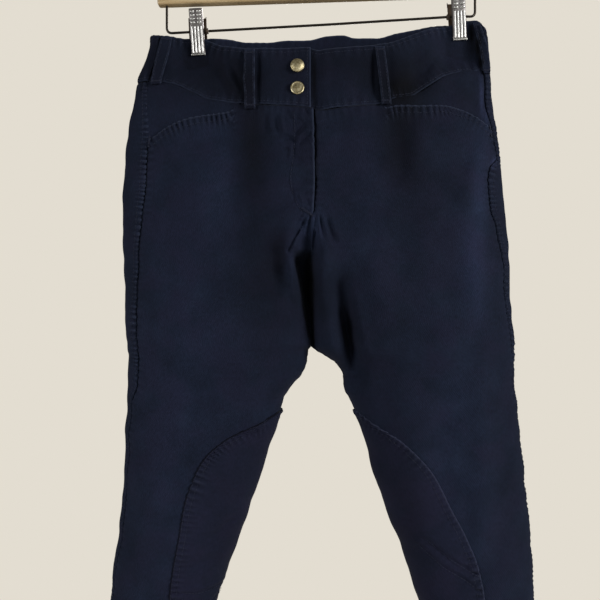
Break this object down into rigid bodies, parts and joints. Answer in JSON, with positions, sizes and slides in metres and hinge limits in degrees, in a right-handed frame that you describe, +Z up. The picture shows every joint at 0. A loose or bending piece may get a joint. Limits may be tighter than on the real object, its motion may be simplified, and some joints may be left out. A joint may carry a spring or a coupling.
{
  "type": "riding breeches on a clip hanger",
  "caption": "Riding breeches with a wide waistband, slanted pockets and inner knee patches, hung flat by the waist from the sprung clips of a wooden hanger.",
  "frame": {"origin": "inner top of the hanger's hook, where the rail carries it", "axes": "+Z up, the front of the breeches faces -Y, the wearer's left is +X"},
  "size_m": [0.4744, 0.0962, 1.1334],
  "materials": {
    "twill": "brushed navy stretch twill",
    "knee_patch": "napped navy patch cloth",
    "brass": "antique brass",
    "wood": "clear lacquered beech",
    "chrome": "bright chrome",
    "sleeve": "brown vinyl"
  },
  "bodies": {
    "root": {"front_leg_right": "twill", "front_leg_left": "twill", "back_leg_right": "twill", "back_leg_left": "twill", "pocket_facing_right": "twill", "pocket_facing_left": "twill", "fly_shield": "twill", "waistband_front_right": "twill", "waistband_front_left": "twill", "waistband_back": "twill", "belt_loop_front_right": "twill", "belt_loop_front_left": "twill", "belt_loop_side_right": "twill", "belt_loop_side_left": "twill", "belt_loop_back": "twill", "knee_patch_right": "knee_patch", "knee_patch_left": "knee_patch", "snap_cap_upper": "brass", "snap_cap_lower": "brass", "hanger_wood_bar": "wood", "hanger_hook": "chrome", "hanger_wire_bar": "chrome", "clip_front_jaw_right": "chrome", "clip_back_jaw_right": "chrome", "clip_front_jaw_left": "chrome", "clip_back_jaw_left": "chrome", "clip_sleeve_right": "sleeve", "clip_sleeve_left": "sleeve"}
  },
  "joints": []
}
